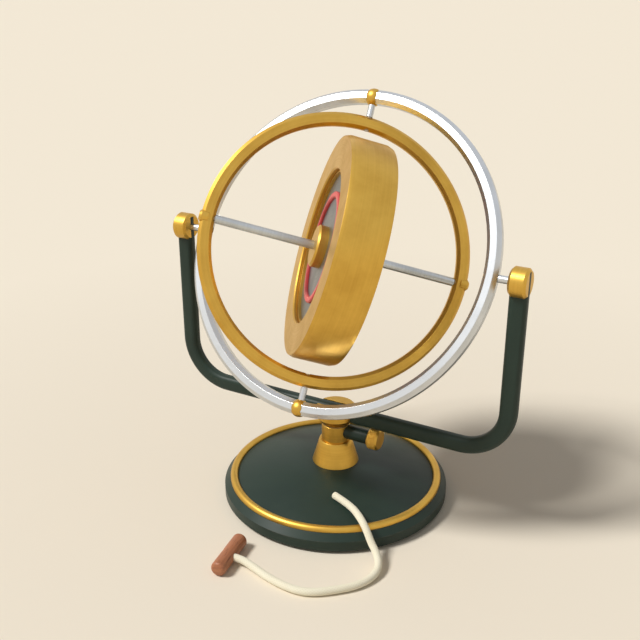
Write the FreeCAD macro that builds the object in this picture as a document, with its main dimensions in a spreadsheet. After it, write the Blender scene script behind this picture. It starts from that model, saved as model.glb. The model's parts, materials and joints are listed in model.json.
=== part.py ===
import FreeCAD, Part
import Sketcher
import math
import os

# Demonstration gyroscope on a swivelling stand, with its pull cord.
#
# A domed iron base carries a brass column. A U-shaped yoke swivels in the column and is
# clamped there by a side screw. The yoke carries a nickelled outer ring on a level axis,
# the outer ring carries a brass inner ring on an axis across it, and the inner ring carries
# the flywheel. Both gimbal axes and the spin axis cross in one point on the column's axis.
#
# Millimetres and degrees. +Z is up, X runs along the yoke's pivots, and the origin is on
# the column's axis in the plane that the base stands on. Each ring and the flywheel is
# drawn upright about its own centre, and its placement then tilts it into the stored pose.

# Each driving dimension: its alias in the sheet, its value and what it measures.
SIZES = [
    ("base_radius", 75.0, "outer radius of the base casting"),
    ("base_foot_bevel", 1.2, "bevel round the foot of the casting"),
    ("base_side_height", 8.6, "top of the upright side of the casting"),
    ("base_shoulder_inset", 3.8, "how far the shoulder stands inside the side"),
    ("base_shoulder_height", 12.5, "top of the bevel above the side"),
    ("dome_rim_inset", 9.0, "how far the dome's rim stands inside the side"),
    ("dome_rim_height", 13.2, "height of the dome's rim"),
    ("dome_top_height", 22.7, "height of the seat on top of the dome"),
    ("dome_curve", 222.0, "radius of the dome's curve"),
    ("pocket_margin", 0.8, "space round the column washer in its pocket under the base"),
    ("pocket_ceiling", 8.0, "height of the pocket's ceiling"),
    ("trim_inset", 6.5, "how far the trim bead's centre stands inside the side"),
    ("trim_height", 13.1, "height of the trim bead's centre"),
    ("trim_bead", 2.6, "radius of the trim bead's section"),
    ("pad_thickness", 1.2, "thickness of the felt pad"),
    ("pad_inset", 2.5, "how far the felt stands inside the side"),
    ("flare_foot_radius", 15.5, "radius of the column flare at its foot"),
    ("flare_seat_margin", 0.6, "flat left round the flare's foot"),
    ("flare_top_radius", 10.9, "radius of the column flare at its top"),
    ("flare_length", 16.1, "height of the column flare"),
    ("flare_bevel", 0.5, "bevel round the flare's top"),
    ("sleeve_radius", 9.3, "outer radius of the column sleeve"),
    ("sleeve_length", 27.8, "height of the sleeve above the base"),
    ("sleeve_bevel", 0.5, "bevel round the sleeve's mouth"),
    ("sleeve_floor", 1.5, "solid left between the socket and the threaded shank"),
    ("shank_radius", 6.0, "radius of the sleeve's threaded shank"),
    ("shank_end", 0.6, "how far the shank reaches past its nut"),
    ("nut_flats", 18.0, "width of the column nut across its flats"),
    ("nut_height", 4.4, "height of the column nut"),
    ("washer_radius", 11.5, "outer radius of the column washer"),
    ("washer_thickness", 1.2, "thickness of the column washer"),
    ("thrust_thickness", 0.55, "thickness of the yoke's thrust washer"),
    ("stem_radius", 5.0, "radius of the yoke's stem"),
    ("stem_bevel", 0.6, "bevel round the stem's lower end"),
    ("stem_end_gap", 0.4, "space between the stem and the bottom of its socket"),
    ("spigot_radius", 3.5, "radius of the stem's spigot in the yoke"),
    ("spigot_length", 8.0, "how deep the spigot reaches into the yoke's bar"),
    ("lock_drop", 4.9, "how far the lock screw's axis is below the sleeve's mouth"),
    ("lock_boss_radius", 4.8, "radius of the lock screw's boss"),
    ("lock_boss_length", 15.6, "length of the boss outside the sleeve"),
    ("lock_spigot_radius", 3.0, "radius of the boss's spigot in the sleeve"),
    ("lock_screw_radius", 2.0, "radius of the lock screw"),
    ("lock_tip_gap", 0.1, "space between the screw's tip and the stem"),
    ("knob_radius", 7.1, "radius of the lock knob"),
    ("knob_length", 7.7, "length of the lock knob"),
    ("knob_bevel", 1.1, "bevel round the knob's ends"),
    ("knob_gap", 0.3, "space between the knob and the boss"),
    ("knob_screw_depth", 6.0, "how deep the screw is held in the knob"),
    ("knob_grooves", 60.0, "number of grip grooves round the knob"),
    ("knob_groove_radius", 0.18, "radius of a grip groove"),
    ("hub_radius", 13.1, "radius of the yoke's hub"),
    ("hub_floor", 2.3, "thickness of the hub below the yoke's bar"),
    ("hub_lip", 0.8, "how far the bar stands above the hub"),
    ("hub_taper", 4.6, "height of the taper from the sleeve out to the hub"),
    ("hub_bevel", 1.0, "bevel round the hub's top"),
    ("bar_height", 10.8, "height of the yoke's bar"),
    ("arm_width", 11.0, "width of the yoke's arms"),
    ("yoke_depth", 8.0, "front to back thickness of the yoke"),
    ("yoke_inner_corner", 23.0, "radius inside the yoke's corners"),
    ("yoke_outer_corner", 35.0, "radius outside the yoke's corners"),
    ("yoke_edge_round", 3.4, "rounding of the yoke's long edges"),
    ("arm_rise", 6.8, "how far the arms reach above the pivot axis"),
    ("arm_gap", 7.3, "space between the outer ring and an arm"),
    ("trunnion_radius", 8.8, "radius of a trunnion boss"),
    ("trunnion_length", 10.75, "length of a trunnion boss"),
    ("trunnion_bevel", 1.5, "bevel round a trunnion boss's ends"),
    ("pivot_radius", 2.3, "radius of a yoke pivot pin"),
    ("pivot_hold", 8.0, "how deep a yoke pivot pin is held in its arm"),
    ("pivot_journal", 1.5, "radius of a yoke pivot pin's journal"),
    ("outer_ring_radius", 103.2, "outer radius of the outer ring"),
    ("outer_ring_thickness", 8.7, "radial thickness of the outer ring"),
    ("outer_ring_width", 8.4, "width of the outer ring along its axis"),
    ("outer_ring_bevel", 2.4, "bevel of the outer ring's edges"),
    ("outer_bush_radius", 2.2, "radius of a bush in the outer ring"),
    ("ring_sweep_gap", 0.65, "space between the turning outer ring and the yoke's bar"),
    ("ring_boss_rise", 1.15, "how far a ball boss stands out of the outer ring"),
    ("ring_gap", 8.7, "space between the two rings"),
    ("gimbal_radius", 2.1, "radius of a gimbal pin"),
    ("gimbal_journal", 1.4, "radius of a gimbal pin's journal"),
    ("inner_ring_thickness", 8.6, "radial thickness of the inner ring"),
    ("inner_ring_width", 5.8, "width of the inner ring along its axis"),
    ("inner_ring_bevel", 1.8, "bevel of the inner ring's edges"),
    ("inner_bush_radius", 2.0, "radius of a bush in the inner ring"),
    ("axle_boss_radius", 3.9, "radius of a saddle boss over an axle bearing"),
    ("axle_boss_rise", 1.1, "how far that boss stands out of the inner ring"),
    ("axle_boss_reach", 4.6, "how far that boss reaches in over the inner ring's sides"),
    ("axle_boss_bevel", 1.3, "bevel round that boss's end"),
    ("axle_radius", 2.7, "radius of the axle"),
    ("axle_journal", 1.3, "radius of the axle's journals"),
    ("rotor_gap", 7.4, "space between the flywheel and the inner ring"),
    ("rim_width", 27.8, "width of the flywheel's rim"),
    ("rim_thickness", 21.1, "radial thickness of the rim at its outer ledge"),
    ("rim_bevel_width", 2.8, "how far the bevel of the rim's outer edges runs along the side"),
    ("rim_bevel_depth", 1.0, "how far that bevel goes in from the side"),
    ("mouth_bevel", 0.8, "bevel of the rim's mouth"),
    ("ledge_depth", 2.3, "depth of the rim's outer ledge"),
    ("groove_width", 0.6, "width of the groove below the ledge"),
    ("groove_depth", 0.7, "depth of the groove below the ledge"),
    ("ledge_step", 1.5, "how far the inner ledge stands inside the outer one"),
    ("web_thickness", 18.0, "thickness of the web"),
    ("band_radius", 33.3, "middle radius of a red band"),
    ("band_width", 3.8, "width of a red band"),
    ("band_height", 1.9, "height of a red band on the web"),
    ("band_bevel", 0.7, "bevel of a red band's edges"),
    ("boss_radius", 13.2, "radius of the flywheel's hub"),
    ("boss_height", 6.3, "height of the hub above the web"),
    ("boss_bevel", 1.2, "bevel round the hub's ends"),
    ("spool_radius", 7.0, "radius of the hub's spool through the web"),
    ("spool_end_gap", 3.4, "how far the spool stops short of the far hub's face"),
    ("outer_tilt", -28.3, "turn of the outer ring about X in the stored pose"),
    ("inner_turn", 37.7, "turn of the inner ring about its own pins in that pose"),
    ("seat_fit", 0.01, "clearance round what is held fast"),
    ("slot_fit", 0.03, "clearance of a slot over what it holds"),
    ("running_fit", 0.03, "radial clearance of a journal in its bush"),
    ("socket_fit", 0.05, "radial clearance of the stem and the lock screw"),
    ("shoulder_gap", 0.3, "end play at the shoulder of a journal"),
    ("swivel_gap", 0.05, "space under the yoke's hub"),
    ("end_relief", 0.2, "how far a bush stops short of its ring's surface"),
    ("cord_radius", 2.3, "radius of the pull cord"),
    ("handle_radius", 4.65, "radius of the wooden handle"),
    ("handle_length", 33.0, "length of the wooden handle"),
    ("handle_round", 2.2, "rounding of the handle's ends"),
    ("handle_shift", 1.5, "how far the handle's middle is from its cord hole"),
    ("handle_along", -16.6, "place of the handle's cord hole along X"),
    ("handle_across", -104.0, "place of the handle's cord hole along Y"),
    ("handle_turn", 9.0, "turn of the handle about Z"),
    ("cord_fit", 0.15, "clearance round the cord in the handle"),
    ("cord_end", -0.5, "where the cord ends in the handle, from its middle"),
    ("knot_radius", 3.1, "radius of the knot"),
    ("knot_length", 3.2, "length of the knot"),
    ("knot_round", 1.2, "rounding of the knot"),
    ("knot_fit", 0.3, "clearance round the knot in its pocket"),
]

# The pull cord's free end lies on the dome. The cord drops over the edge of the base and
# curls over the table to the handle. The route's points are chosen by hand.
CORD_ROUTE = [
    (19.4, -38.6, 21.6),
    (32.8, -41.3, 20.4),
    (44.8, -50.3, 23.5),
    (52.5, -55.9, 20.5),
    (58.7, -59.1, 13.3),
    (63.0, -63.1, 8.8),
    (65.9, -69.4, 5.3),
    (66.2, -77.1, 3.0),
    (62.6, -87.9, 2.35),
    (53.0, -98.4, 2.4),
    (42.4, -106.3, 2.4),
    (31.7, -109.3, 2.4),
    (15.6, -107.9, 2.6),
    (1.2, -104.3, 3.6),
    (-8.2, -102.67, 4.65),
]

FULL_TURN = 360.0
OUTSIDE = 5.0  # how far a cutting tool reaches past what it cuts
ARC_SHARE = 0.45  # how much of the shorter run an arc of the cord's path takes

doc = FreeCAD.newDocument("gyroscope_on_stand")


# ---------------------------------------------------------------- the sheet of sizes


class Size:
    """A number together with the expression that works it out from the sheet."""

    def __init__(self, value, words):
        self.value = value
        self.words = words

    def _with(self, sign, other, value):
        return Size(value, f"({self.words} {sign} {words_of(other)})")

    def __add__(self, other):
        return self._with("+", other, self.value + value_of(other))

    def __sub__(self, other):
        return self._with("-", other, self.value - value_of(other))

    def __mul__(self, other):
        return self._with("*", other, self.value * value_of(other))

    def __truediv__(self, other):
        return self._with("/", other, self.value / value_of(other))

    def __neg__(self):
        return self * -1


def value_of(size):
    return size.value if isinstance(size, Size) else float(size)


def words_of(size):
    return size.words if isinstance(size, Size) else repr(size)


class Sheet:
    """The driving dimensions, each readable as a Size by its alias."""

    def __init__(self, rows):
        table = doc.addObject("Spreadsheet::Sheet", "Sizes")
        for row, (alias, value, meaning) in enumerate(rows, start=1):
            table.set(f"A{row}", alias)
            table.set(f"B{row}", str(value))
            table.setAlias(f"B{row}", alias)
            table.set(f"C{row}", meaning)
            setattr(self, alias, Size(value, f"Sizes.{alias}"))


size = Sheet(SIZES)
doc.recompute()


# ---------------------------------------------------------------- places worked out once

# Heights up the column, from the table to the yoke.
flare_top = size.dome_top_height + size.flare_length
sleeve_top = size.dome_top_height + size.sleeve_length
lock_height = sleeve_top - size.lock_drop
lock_boss_end = size.sleeve_radius + size.lock_boss_length
thrust_top = sleeve_top + size.thrust_thickness
hub_bottom = thrust_top + size.swivel_gap
bar_bottom = hub_bottom + size.hub_floor
bar_top = bar_bottom + size.bar_height

# The outer ring clears the bar with its bosses on, which sets the height of the pivots.
boss_sweep = size.outer_ring_radius + size.ring_boss_rise
pivot_height = bar_top + size.ring_sweep_gap + boss_sweep
arm_inside = size.outer_ring_radius + size.arm_gap
arm_middle = arm_inside + size.arm_width / 2
arm_outside = arm_inside + size.arm_width
arm_top = pivot_height + size.arm_rise

# Radii inwards from the outer ring to the flywheel's bore.
outer_ring_bore = size.outer_ring_radius - size.outer_ring_thickness
inner_ring_radius = outer_ring_bore - size.ring_gap
inner_ring_bore = inner_ring_radius - size.inner_ring_thickness
rotor_radius = inner_ring_bore - size.rotor_gap
ledge_radius = rotor_radius - size.rim_thickness
web_radius = ledge_radius - size.ledge_step
web_face = size.web_thickness / 2
boss_face = web_face + size.boss_height

# Where the stored pose puts the three moving assemblies.
PIVOT_POINT = f"vector(0; 0; {pivot_height.words})"
OUTER_TURN = "rotation(vector(1; 0; 0); Sizes.outer_tilt)"
INNER_TURN = "rotation(vector(0; 0; 1); Sizes.inner_turn)"
ON_OUTER_RING = f"placement({PIVOT_POINT}; {OUTER_TURN})"
ON_INNER_RING = f"placement({PIVOT_POINT}; {OUTER_TURN} * {INNER_TURN})"

# The handle lies on the table with its cord hole level.
HANDLE_POINT = "vector(Sizes.handle_along; Sizes.handle_across; Sizes.handle_radius)"
ON_HANDLE = f"placement({HANDLE_POINT}; rotation(vector(0; 0; 1); Sizes.handle_turn))"

SIDES = (("left", -1), ("right", 1))
ENDS = (("bottom", -1), ("top", 1))


# ---------------------------------------------------------------- ways to make a piece


def bind(thing, **sizes):
    """Ties properties of a document object to the sheet."""
    for name, value in sizes.items():
        thing.setExpression(name, words_of(value))


def new_body(name):
    return doc.addObject("PartDesign::Body", name + "_body")


def new_sketch(body, role, name):
    """A sketch on one of the body's own origin planes."""
    planes = body.Origin.OriginFeatures
    plane = next(feature for feature in planes if feature.Role == role)
    sketch = body.newObject("Sketcher::SketchObject", name)
    sketch.AttachmentSupport = [(plane, "")]
    sketch.MapMode = "FlatFace"
    return sketch


def arc_between(start, end, radius):
    """The shorter arc from start to end. A positive radius bulges to the right."""
    chord = end - start
    middle = (start + end) / 2
    left = FreeCAD.Vector(-chord.y, chord.x, 0).normalize()
    side = math.copysign(1, radius)
    height = math.sqrt(radius**2 - (chord.Length / 2) ** 2)
    top = middle - left * side * (abs(radius) - height)
    return Part.Arc(start, top, end)


def pin_point(sketch, index, end, corner):
    """Dimensions one end of one line or arc from the sketch's origin."""
    for kind, value in zip(("DistanceX", "DistanceY"), corner):
        rule = Sketcher.Constraint(kind, -1, 1, index, end, value_of(value))
        place = sketch.addConstraint(rule)
        bind(sketch, **{f"Constraints[{place}]": value})


def draw_outline(sketch, corners, arcs=None):
    """A closed outline. arcs maps a corner's index to the radius of the arc after it."""
    arcs = arcs or {}
    points = [FreeCAD.Vector(value_of(x), value_of(y), 0) for x, y in corners]
    count = len(points)
    for index, start in enumerate(points):
        end = points[(index + 1) % count]
        if index in arcs:
            sketch.addGeometry(arc_between(start, end, value_of(arcs[index])), False)
        else:
            sketch.addGeometry(Part.LineSegment(start, end), False)
    starts = []
    ends = []
    for index, start in enumerate(points):
        first = sketch.getPoint(index, 1)
        turned_round = first.distanceToPoint(start) > 1e-6
        starts.append(2 if turned_round else 1)
        ends.append(1 if turned_round else 2)
    for index, corner in enumerate(corners):
        after = (index + 1) % count
        joined = Sketcher.Constraint("Coincident", index, ends[index], after, starts[after])
        sketch.addConstraint(joined)
        pin_point(sketch, index, starts[index], corner)
    for index, radius in arcs.items():
        length = abs(value_of(radius))
        place = sketch.addConstraint(Sketcher.Constraint("Radius", index, length))
        bind(sketch, **{f"Constraints[{place}]": radius if value_of(radius) > 0 else -radius})


def draw_circle(sketch, radius, across=0.0, up=0.0):
    centre = FreeCAD.Vector(value_of(across), value_of(up), 0)
    normal = FreeCAD.Vector(0, 0, 1)
    index = sketch.addGeometry(Part.Circle(centre, normal, value_of(radius)), False)
    place = sketch.addConstraint(Sketcher.Constraint("Radius", index, value_of(radius)))
    bind(sketch, **{f"Constraints[{place}]": radius})
    pin_point(sketch, index, 3, (across, up))


def spun(body, axis, outline, arcs=None):
    """A revolution about X, Y or Z. The outline's points are (along the axis, radius)."""
    name = f"{body.Name}_section"
    if axis == "X":
        sketch = new_sketch(body, "XY_Plane", name)
        draw_outline(sketch, outline, arcs)
        line = "H_Axis"
    else:
        sketch = new_sketch(body, "XZ_Plane" if axis == "Z" else "XY_Plane", name)
        draw_outline(sketch, [(radius, along) for along, radius in outline], arcs)
        line = "V_Axis"
    turning = body.newObject("PartDesign::Revolution", f"{body.Name}_turning")
    turning.Profile = sketch
    turning.ReferenceAxis = (sketch, [line])
    turning.Angle = FULL_TURN
    return turning


def drilled(body, role, radius, name):
    """A round hole right through the body, square to one of its origin planes."""
    sketch = new_sketch(body, role, f"{body.Name}_{name}_circle")
    draw_circle(sketch, radius)
    hole = body.newObject("PartDesign::Pocket", f"{body.Name}_{name}")
    hole.Profile = sketch
    hole.Type = "ThroughAll"
    hole.SideType = "Symmetric"


def rod(name, axis, radius, start, end, across=0.0, up=0.0):
    """A plain cylinder along X or Z from start to end, for use as a cutting tool."""
    tool = doc.addObject("Part::Cylinder", name)
    bind(tool, Radius=radius, Height=end - start)
    if axis == "X":
        tool.Placement.Rotation = FreeCAD.Rotation(FreeCAD.Vector(0, 1, 0), 90)
        places = {"x": start, "y": across, "z": up}
    else:
        places = {"x": across, "y": up, "z": start}
    bind(tool, **{f"Placement.Base.{key}": value for key, value in places.items()})
    return tool


def side_rod(name, axis, sign, radius, start, end):
    """A plain cylinder for one side, between two distances from the origin."""
    low, high = (start, end) if sign > 0 else (-end, -start)
    return rod(name, axis, radius, low, high)


def block(name, low, high):
    """A box between two opposite corners, for use as a cutting tool."""
    tool = doc.addObject("Part::Box", name)
    spans = [top - bottom for bottom, top in zip(low, high)]
    bind(tool, Length=spans[0], Width=spans[1], Height=spans[2])
    bind(tool, **{f"Placement.Base.{key}": value for key, value in zip("xyz", low)})
    return tool


def without(label, base, *tools):
    """The base with every tool cut away."""
    for number, tool in enumerate(tools, start=1):
        result = doc.addObject("Part::Cut", f"{label}_cut{number}")
        result.Base = base
        result.Tool = tool
        base = result
    return base


pieces = []


def finished(label, thing, pose=None):
    """Names a finished piece and puts it where the stored pose has it."""
    thing.Label = label
    if pose:
        thing.setExpression("Placement", pose)
    pieces.append(thing)
    return thing


def turned_piece(label, axis, outline, pose=None, arcs=None):
    """A finished piece that is one revolution."""
    body = new_body(label)
    spun(body, axis, outline, arcs)
    return finished(label, body, pose)


def tube(low, high, inside, outside):
    """The outline of a plain tube or washer."""
    return [(low, inside), (low, outside), (high, outside), (high, inside)]


def mirrored(outline, sign):
    """The outline, turned end for end where sign is negative."""
    return [(along * sign, radius) for along, radius in outline]


# ---------------------------------------------------------------- the stand


def make_base():
    side = size.base_radius
    pocket_radius = size.washer_radius + size.pocket_margin
    dome_top_radius = size.flare_foot_radius + size.flare_seat_margin
    bore = size.shank_radius + size.seat_fit
    outline = [
        (size.pad_thickness, pocket_radius),
        (size.pad_thickness, side - size.base_foot_bevel),
        (size.pad_thickness + size.base_foot_bevel, side),
        (size.base_side_height, side),
        (size.base_shoulder_height, side - size.base_shoulder_inset),
        (size.dome_rim_height, side - size.dome_rim_inset),
        (size.dome_top_height, dome_top_radius),
        (size.dome_top_height, bore),
        (size.pocket_ceiling, bore),
        (size.pocket_ceiling, pocket_radius),
    ]
    body = new_body("base_casting")
    spun(body, "Z", outline, arcs={5: size.dome_curve})
    groove = make_bead("trim_groove", size.trim_bead + size.seat_fit)
    finished("base_casting", without("base_casting", body, groove))
    finished("base_trim_ring", make_bead("trim_bead", size.trim_bead))
    pad_radius = side - size.pad_inset
    pad = [(0.0, 0.0), (0.0, pad_radius), (size.pad_thickness, pad_radius)]
    turned_piece("base_felt_pad", "Z", pad + [(size.pad_thickness, 0.0)])


def make_bead(name, section):
    """The trim's round bead, which is also the shape of its groove."""
    bead = doc.addObject("Part::Torus", name)
    bind(bead, Radius1=size.base_radius - size.trim_inset, Radius2=section)
    bind(bead, **{"Placement.Base.z": size.trim_height})
    return bead


def make_column():
    seat = size.dome_top_height
    nut_top = size.pocket_ceiling - size.washer_thickness
    nut_bottom = nut_top - size.nut_height
    flare_bore = size.sleeve_radius + size.seat_fit
    flare = [
        (seat, flare_bore),
        (seat, size.flare_foot_radius),
        (flare_top - size.flare_bevel, size.flare_top_radius),
        (flare_top, size.flare_top_radius - size.flare_bevel),
        (flare_top, flare_bore),
    ]
    turned_piece("column_flare", "Z", flare)
    socket = size.stem_radius + size.socket_fit
    sleeve = [
        (nut_bottom - size.shank_end, 0.0),
        (nut_bottom - size.shank_end, size.shank_radius),
        (seat, size.shank_radius),
        (seat, size.sleeve_radius),
        (sleeve_top - size.sleeve_bevel, size.sleeve_radius),
        (sleeve_top, size.sleeve_radius - size.sleeve_bevel),
        (sleeve_top, socket),
        (seat + size.sleeve_floor, socket),
        (seat + size.sleeve_floor, 0.0),
    ]
    body = new_body("column_sleeve")
    spun(body, "Z", sleeve)
    spigot_hole = size.lock_spigot_radius + size.seat_fit
    outside = size.sleeve_radius + OUTSIDE
    hole = rod("sleeve_lock_hole", "X", spigot_hole, Size(0.0, "0"), outside, up=lock_height)
    finished("column_sleeve", without("column_sleeve", body, hole))
    bore = size.shank_radius + size.seat_fit
    washer = tube(nut_top, size.pocket_ceiling, bore, size.washer_radius)
    turned_piece("column_washer", "Z", washer)
    hexagon = doc.addObject("Part::Prism", "nut_hexagon")
    hexagon.Polygon = 6
    bind(hexagon, Circumradius=size.nut_flats / math.sqrt(3), Height=size.nut_height)
    bind(hexagon, **{"Placement.Base.z": nut_bottom})
    thread = rod("nut_thread", "Z", bore, nut_bottom - OUTSIDE, nut_top + OUTSIDE)
    finished("column_nut", without("column_nut", hexagon, thread))
    thrust = tube(sleeve_top, thrust_top, socket + size.socket_fit, size.sleeve_radius)
    turned_piece("yoke_thrust_washer", "Z", thrust)


def make_lock():
    """The side screw that clamps the yoke's stem, in its boss on the sleeve."""
    root = size.stem_radius + size.socket_fit + size.lock_tip_gap
    saddle_radius = size.sleeve_radius + size.seat_fit
    collar = rod("lock_collar", "X", size.lock_boss_radius, root, lock_boss_end, up=lock_height)
    low = lock_height - size.lock_boss_radius - OUTSIDE
    high = lock_height + size.lock_boss_radius + OUTSIDE
    sleeve = rod("lock_collar_seat", "Z", saddle_radius, low, high)
    spigot = rod("lock_spigot", "X", size.lock_spigot_radius, root, lock_boss_end, up=lock_height)
    joined = doc.addObject("Part::Fuse", "lock_boss_blank")
    joined.Base = without("lock_collar", collar, sleeve)
    joined.Tool = spigot
    joined.Refine = True
    bore = size.lock_screw_radius + size.socket_fit
    outside = lock_boss_end + OUTSIDE
    hole = rod("lock_boss_bore", "X", bore, Size(0.0, "0"), outside, up=lock_height)
    finished("lock_boss", without("lock_boss", joined, hole))
    tip = size.stem_radius + size.lock_tip_gap
    knob_start = lock_boss_end + size.knob_gap
    screw_end = knob_start + size.knob_screw_depth
    screw = [(tip, 0.0), (tip, size.lock_screw_radius)]
    screw += [(screw_end, size.lock_screw_radius), (screw_end, 0.0)]
    raised(turned_piece("lock_screw", "X", screw), lock_height)
    make_knob(knob_start, screw_end)


def raised(thing, height):
    """Lifts a piece that was drawn about X to its height on the column."""
    bind(thing, **{"Placement.Base.z": height})


def make_knob(start, screw_end):
    end = start + size.knob_length
    rim = size.knob_radius
    edge = rim - size.knob_bevel
    bore = size.lock_screw_radius + size.seat_fit
    outline = [
        (start, bore),
        (start, edge),
        (start + size.knob_bevel, rim),
        (end - size.knob_bevel, rim),
        (end, edge),
        (end, 0.0),
        (screw_end, 0.0),
        (screw_end, bore),
    ]
    body = new_body("lock_knob")
    spun(body, "X", outline)
    sketch = new_sketch(body, "YZ_Plane", "knob_groove_circle")
    draw_circle(sketch, size.knob_groove_radius, up=rim)
    groove = body.newObject("PartDesign::Pocket", "knob_groove")
    groove.Profile = sketch
    groove.Type = "ThroughAll"
    groove.SideType = "Symmetric"
    grooves = body.newObject("PartDesign::PolarPattern", "knob_grooves")
    grooves.Originals = [groove]
    grooves.Axis = (sketch, ["N_Axis"])
    grooves.Angle = FULL_TURN
    bind(grooves, Occurrences=size.knob_grooves)
    body.Tip = grooves
    raised(body, lock_height)
    finished("lock_knob", body)


# ---------------------------------------------------------------- the yoke


def make_yoke():
    outer = size.yoke_outer_corner
    inner = size.yoke_inner_corner
    corners = [
        (-arm_outside, arm_top),
        (-arm_outside, bar_bottom + outer),
        (-arm_outside + outer, bar_bottom),
        (arm_outside - outer, bar_bottom),
        (arm_outside, bar_bottom + outer),
        (arm_outside, arm_top),
        (arm_inside, arm_top),
        (arm_inside, bar_top + inner),
        (arm_inside - inner, bar_top),
        (-arm_inside + inner, bar_top),
        (-arm_inside, bar_top + inner),
        (-arm_inside, arm_top),
    ]
    arcs = {1: outer, 3: outer, 7: -inner, 9: -inner}
    body = new_body("yoke_frame")
    sketch = new_sketch(body, "XZ_Plane", "yoke_outline")
    draw_outline(sketch, corners, arcs)
    slab = body.newObject("PartDesign::Pad", "yoke_slab")
    slab.Profile = sketch
    slab.SideType = "Symmetric"
    bind(slab, Length=size.yoke_depth)
    doc.recompute()
    rounds = body.newObject("PartDesign::Fillet", "yoke_rounds")
    rounds.Base = (slab, front_and_back(slab.Shape))
    bind(rounds, Radius=size.yoke_edge_round)
    body.Tip = rounds
    spigot_hole = size.spigot_radius + size.seat_fit
    spigot_top = bar_bottom + size.spigot_length + size.end_relief
    tools = [rod("yoke_spigot_hole", "Z", spigot_hole, bar_bottom - OUTSIDE, spigot_top)]
    hold = arm_inside + size.pivot_hold + size.end_relief
    pin_hole = size.pivot_radius + size.seat_fit
    inside = arm_inside - OUTSIDE
    tools.append(rod("yoke_right_hole", "X", pin_hole, inside, hold, up=pivot_height))
    tools.append(rod("yoke_left_hole", "X", pin_hole, -hold, -inside, up=pivot_height))
    finished("yoke_frame", without("yoke_frame", body, *tools))


def front_and_back(shape):
    """The names of the two flat faces that look along Y."""
    names = []
    for number, face in enumerate(shape.Faces, start=1):
        if face.BoundBox.YLength < 1e-6:
            names.append(f"Face{number}")
    return names


def make_hub():
    """The turned hub under the yoke's bar, slotted to take it."""
    top = bar_top - size.hub_lip
    edge = size.hub_radius - size.hub_bevel
    bore = size.spigot_radius + size.seat_fit
    outline = [
        (hub_bottom, bore),
        (hub_bottom, size.sleeve_radius),
        (hub_bottom + size.hub_taper, size.hub_radius),
        (top - size.hub_bevel, size.hub_radius),
        (top, edge),
        (top, bore),
    ]
    body = new_body("yoke_hub")
    spun(body, "Z", outline)
    reach = size.hub_radius + OUTSIDE
    half = size.yoke_depth / 2 + size.slot_fit
    slot = block("hub_slot", (-reach, -half, bar_bottom), (reach, half, bar_top + OUTSIDE))
    finished("yoke_hub", without("yoke_hub", body, slot))


def make_stem():
    foot = size.dome_top_height + size.sleeve_floor + size.stem_end_gap
    spigot_end = bar_bottom + size.spigot_length
    outline = [
        (foot, 0.0),
        (foot, size.stem_radius - size.stem_bevel),
        (foot + size.stem_bevel, size.stem_radius),
        (hub_bottom, size.stem_radius),
        (hub_bottom, size.spigot_radius),
        (spigot_end, size.spigot_radius),
        (spigot_end, 0.0),
    ]
    turned_piece("yoke_stem", "Z", outline)


def arm_end(label, sign):
    """The rounded upper end of an arm with the slot's clearance, as a cutting tool."""
    inner = arm_inside - size.slot_fit
    outer = arm_outside + size.slot_fit
    foot = -size.trunnion_radius - OUTSIDE
    roof = size.arm_rise + size.slot_fit
    body = new_body(label)
    sketch = new_sketch(body, "XZ_Plane", f"{label}_outline")
    corners = [(inner * sign, foot), (outer * sign, foot), (outer * sign, roof)]
    draw_outline(sketch, corners + [(inner * sign, roof)])
    slab = body.newObject("PartDesign::Pad", f"{label}_slab")
    slab.Profile = sketch
    slab.SideType = "Symmetric"
    bind(slab, Length=size.yoke_depth + size.slot_fit * 2)
    doc.recompute()
    rounds = body.newObject("PartDesign::Fillet", f"{label}_rounds")
    rounds.Base = (slab, front_and_back(slab.Shape))
    bind(rounds, Radius=size.yoke_edge_round + size.slot_fit)
    body.Tip = rounds
    return body


def make_trunnions():
    """A brass boss slotted over the top of each arm, and the pivot pin held in the arm."""
    half = size.trunnion_length / 2
    near = arm_middle - half
    far = arm_middle + half
    edge = size.trunnion_radius - size.trunnion_bevel
    outline = [
        (near, 0.0),
        (near, edge),
        (near + size.trunnion_bevel, size.trunnion_radius),
        (far - size.trunnion_bevel, size.trunnion_radius),
        (far, edge),
        (far, 0.0),
    ]
    shoulder = size.outer_ring_radius + size.shoulder_gap
    pin = [
        (arm_inside + size.pivot_hold, 0.0),
        (arm_inside + size.pivot_hold, size.pivot_radius),
        (shoulder, size.pivot_radius),
        (shoulder, size.pivot_journal),
        (outer_ring_bore + size.shoulder_gap, size.pivot_journal),
        (outer_ring_bore + size.shoulder_gap, 0.0),
    ]
    for side, sign in SIDES:
        label = f"{side}_trunnion_boss"
        body = new_body(label)
        spun(body, "X", mirrored(outline, sign))
        slot = arm_end(f"{side}_trunnion_slot", sign)
        hole = size.pivot_radius + size.seat_fit
        pin_hole = side_rod(f"{label}_hole", "X", sign, hole, near - OUTSIDE, arm_middle)
        boss = without(label, body, slot, pin_hole)
        raised(boss, pivot_height)
        finished(label, boss)
        raised(turned_piece(f"{side}_yoke_pivot", "X", mirrored(pin, sign)), pivot_height)


# ---------------------------------------------------------------- the two rings


def ring_body(label, radius, thickness, width, bevel):
    """A bevelled ring about Y, drawn about its own centre."""
    inner = radius - thickness
    half = width / 2
    outline = [
        (-half, inner + bevel),
        (-half, radius - bevel),
        (-half + bevel, radius),
        (half - bevel, radius),
        (half, radius - bevel),
        (half, inner + bevel),
        (half - bevel, inner),
        (-half + bevel, inner),
    ]
    body = new_body(label)
    spun(body, "Y", outline)
    return body


def bush_outline(inner, outer, journal, radius):
    """A bush that ends just below its ring's curved surfaces."""
    bore = journal + size.running_fit
    return tube(inner + size.end_relief, outer - size.end_relief, bore, radius)


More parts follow.
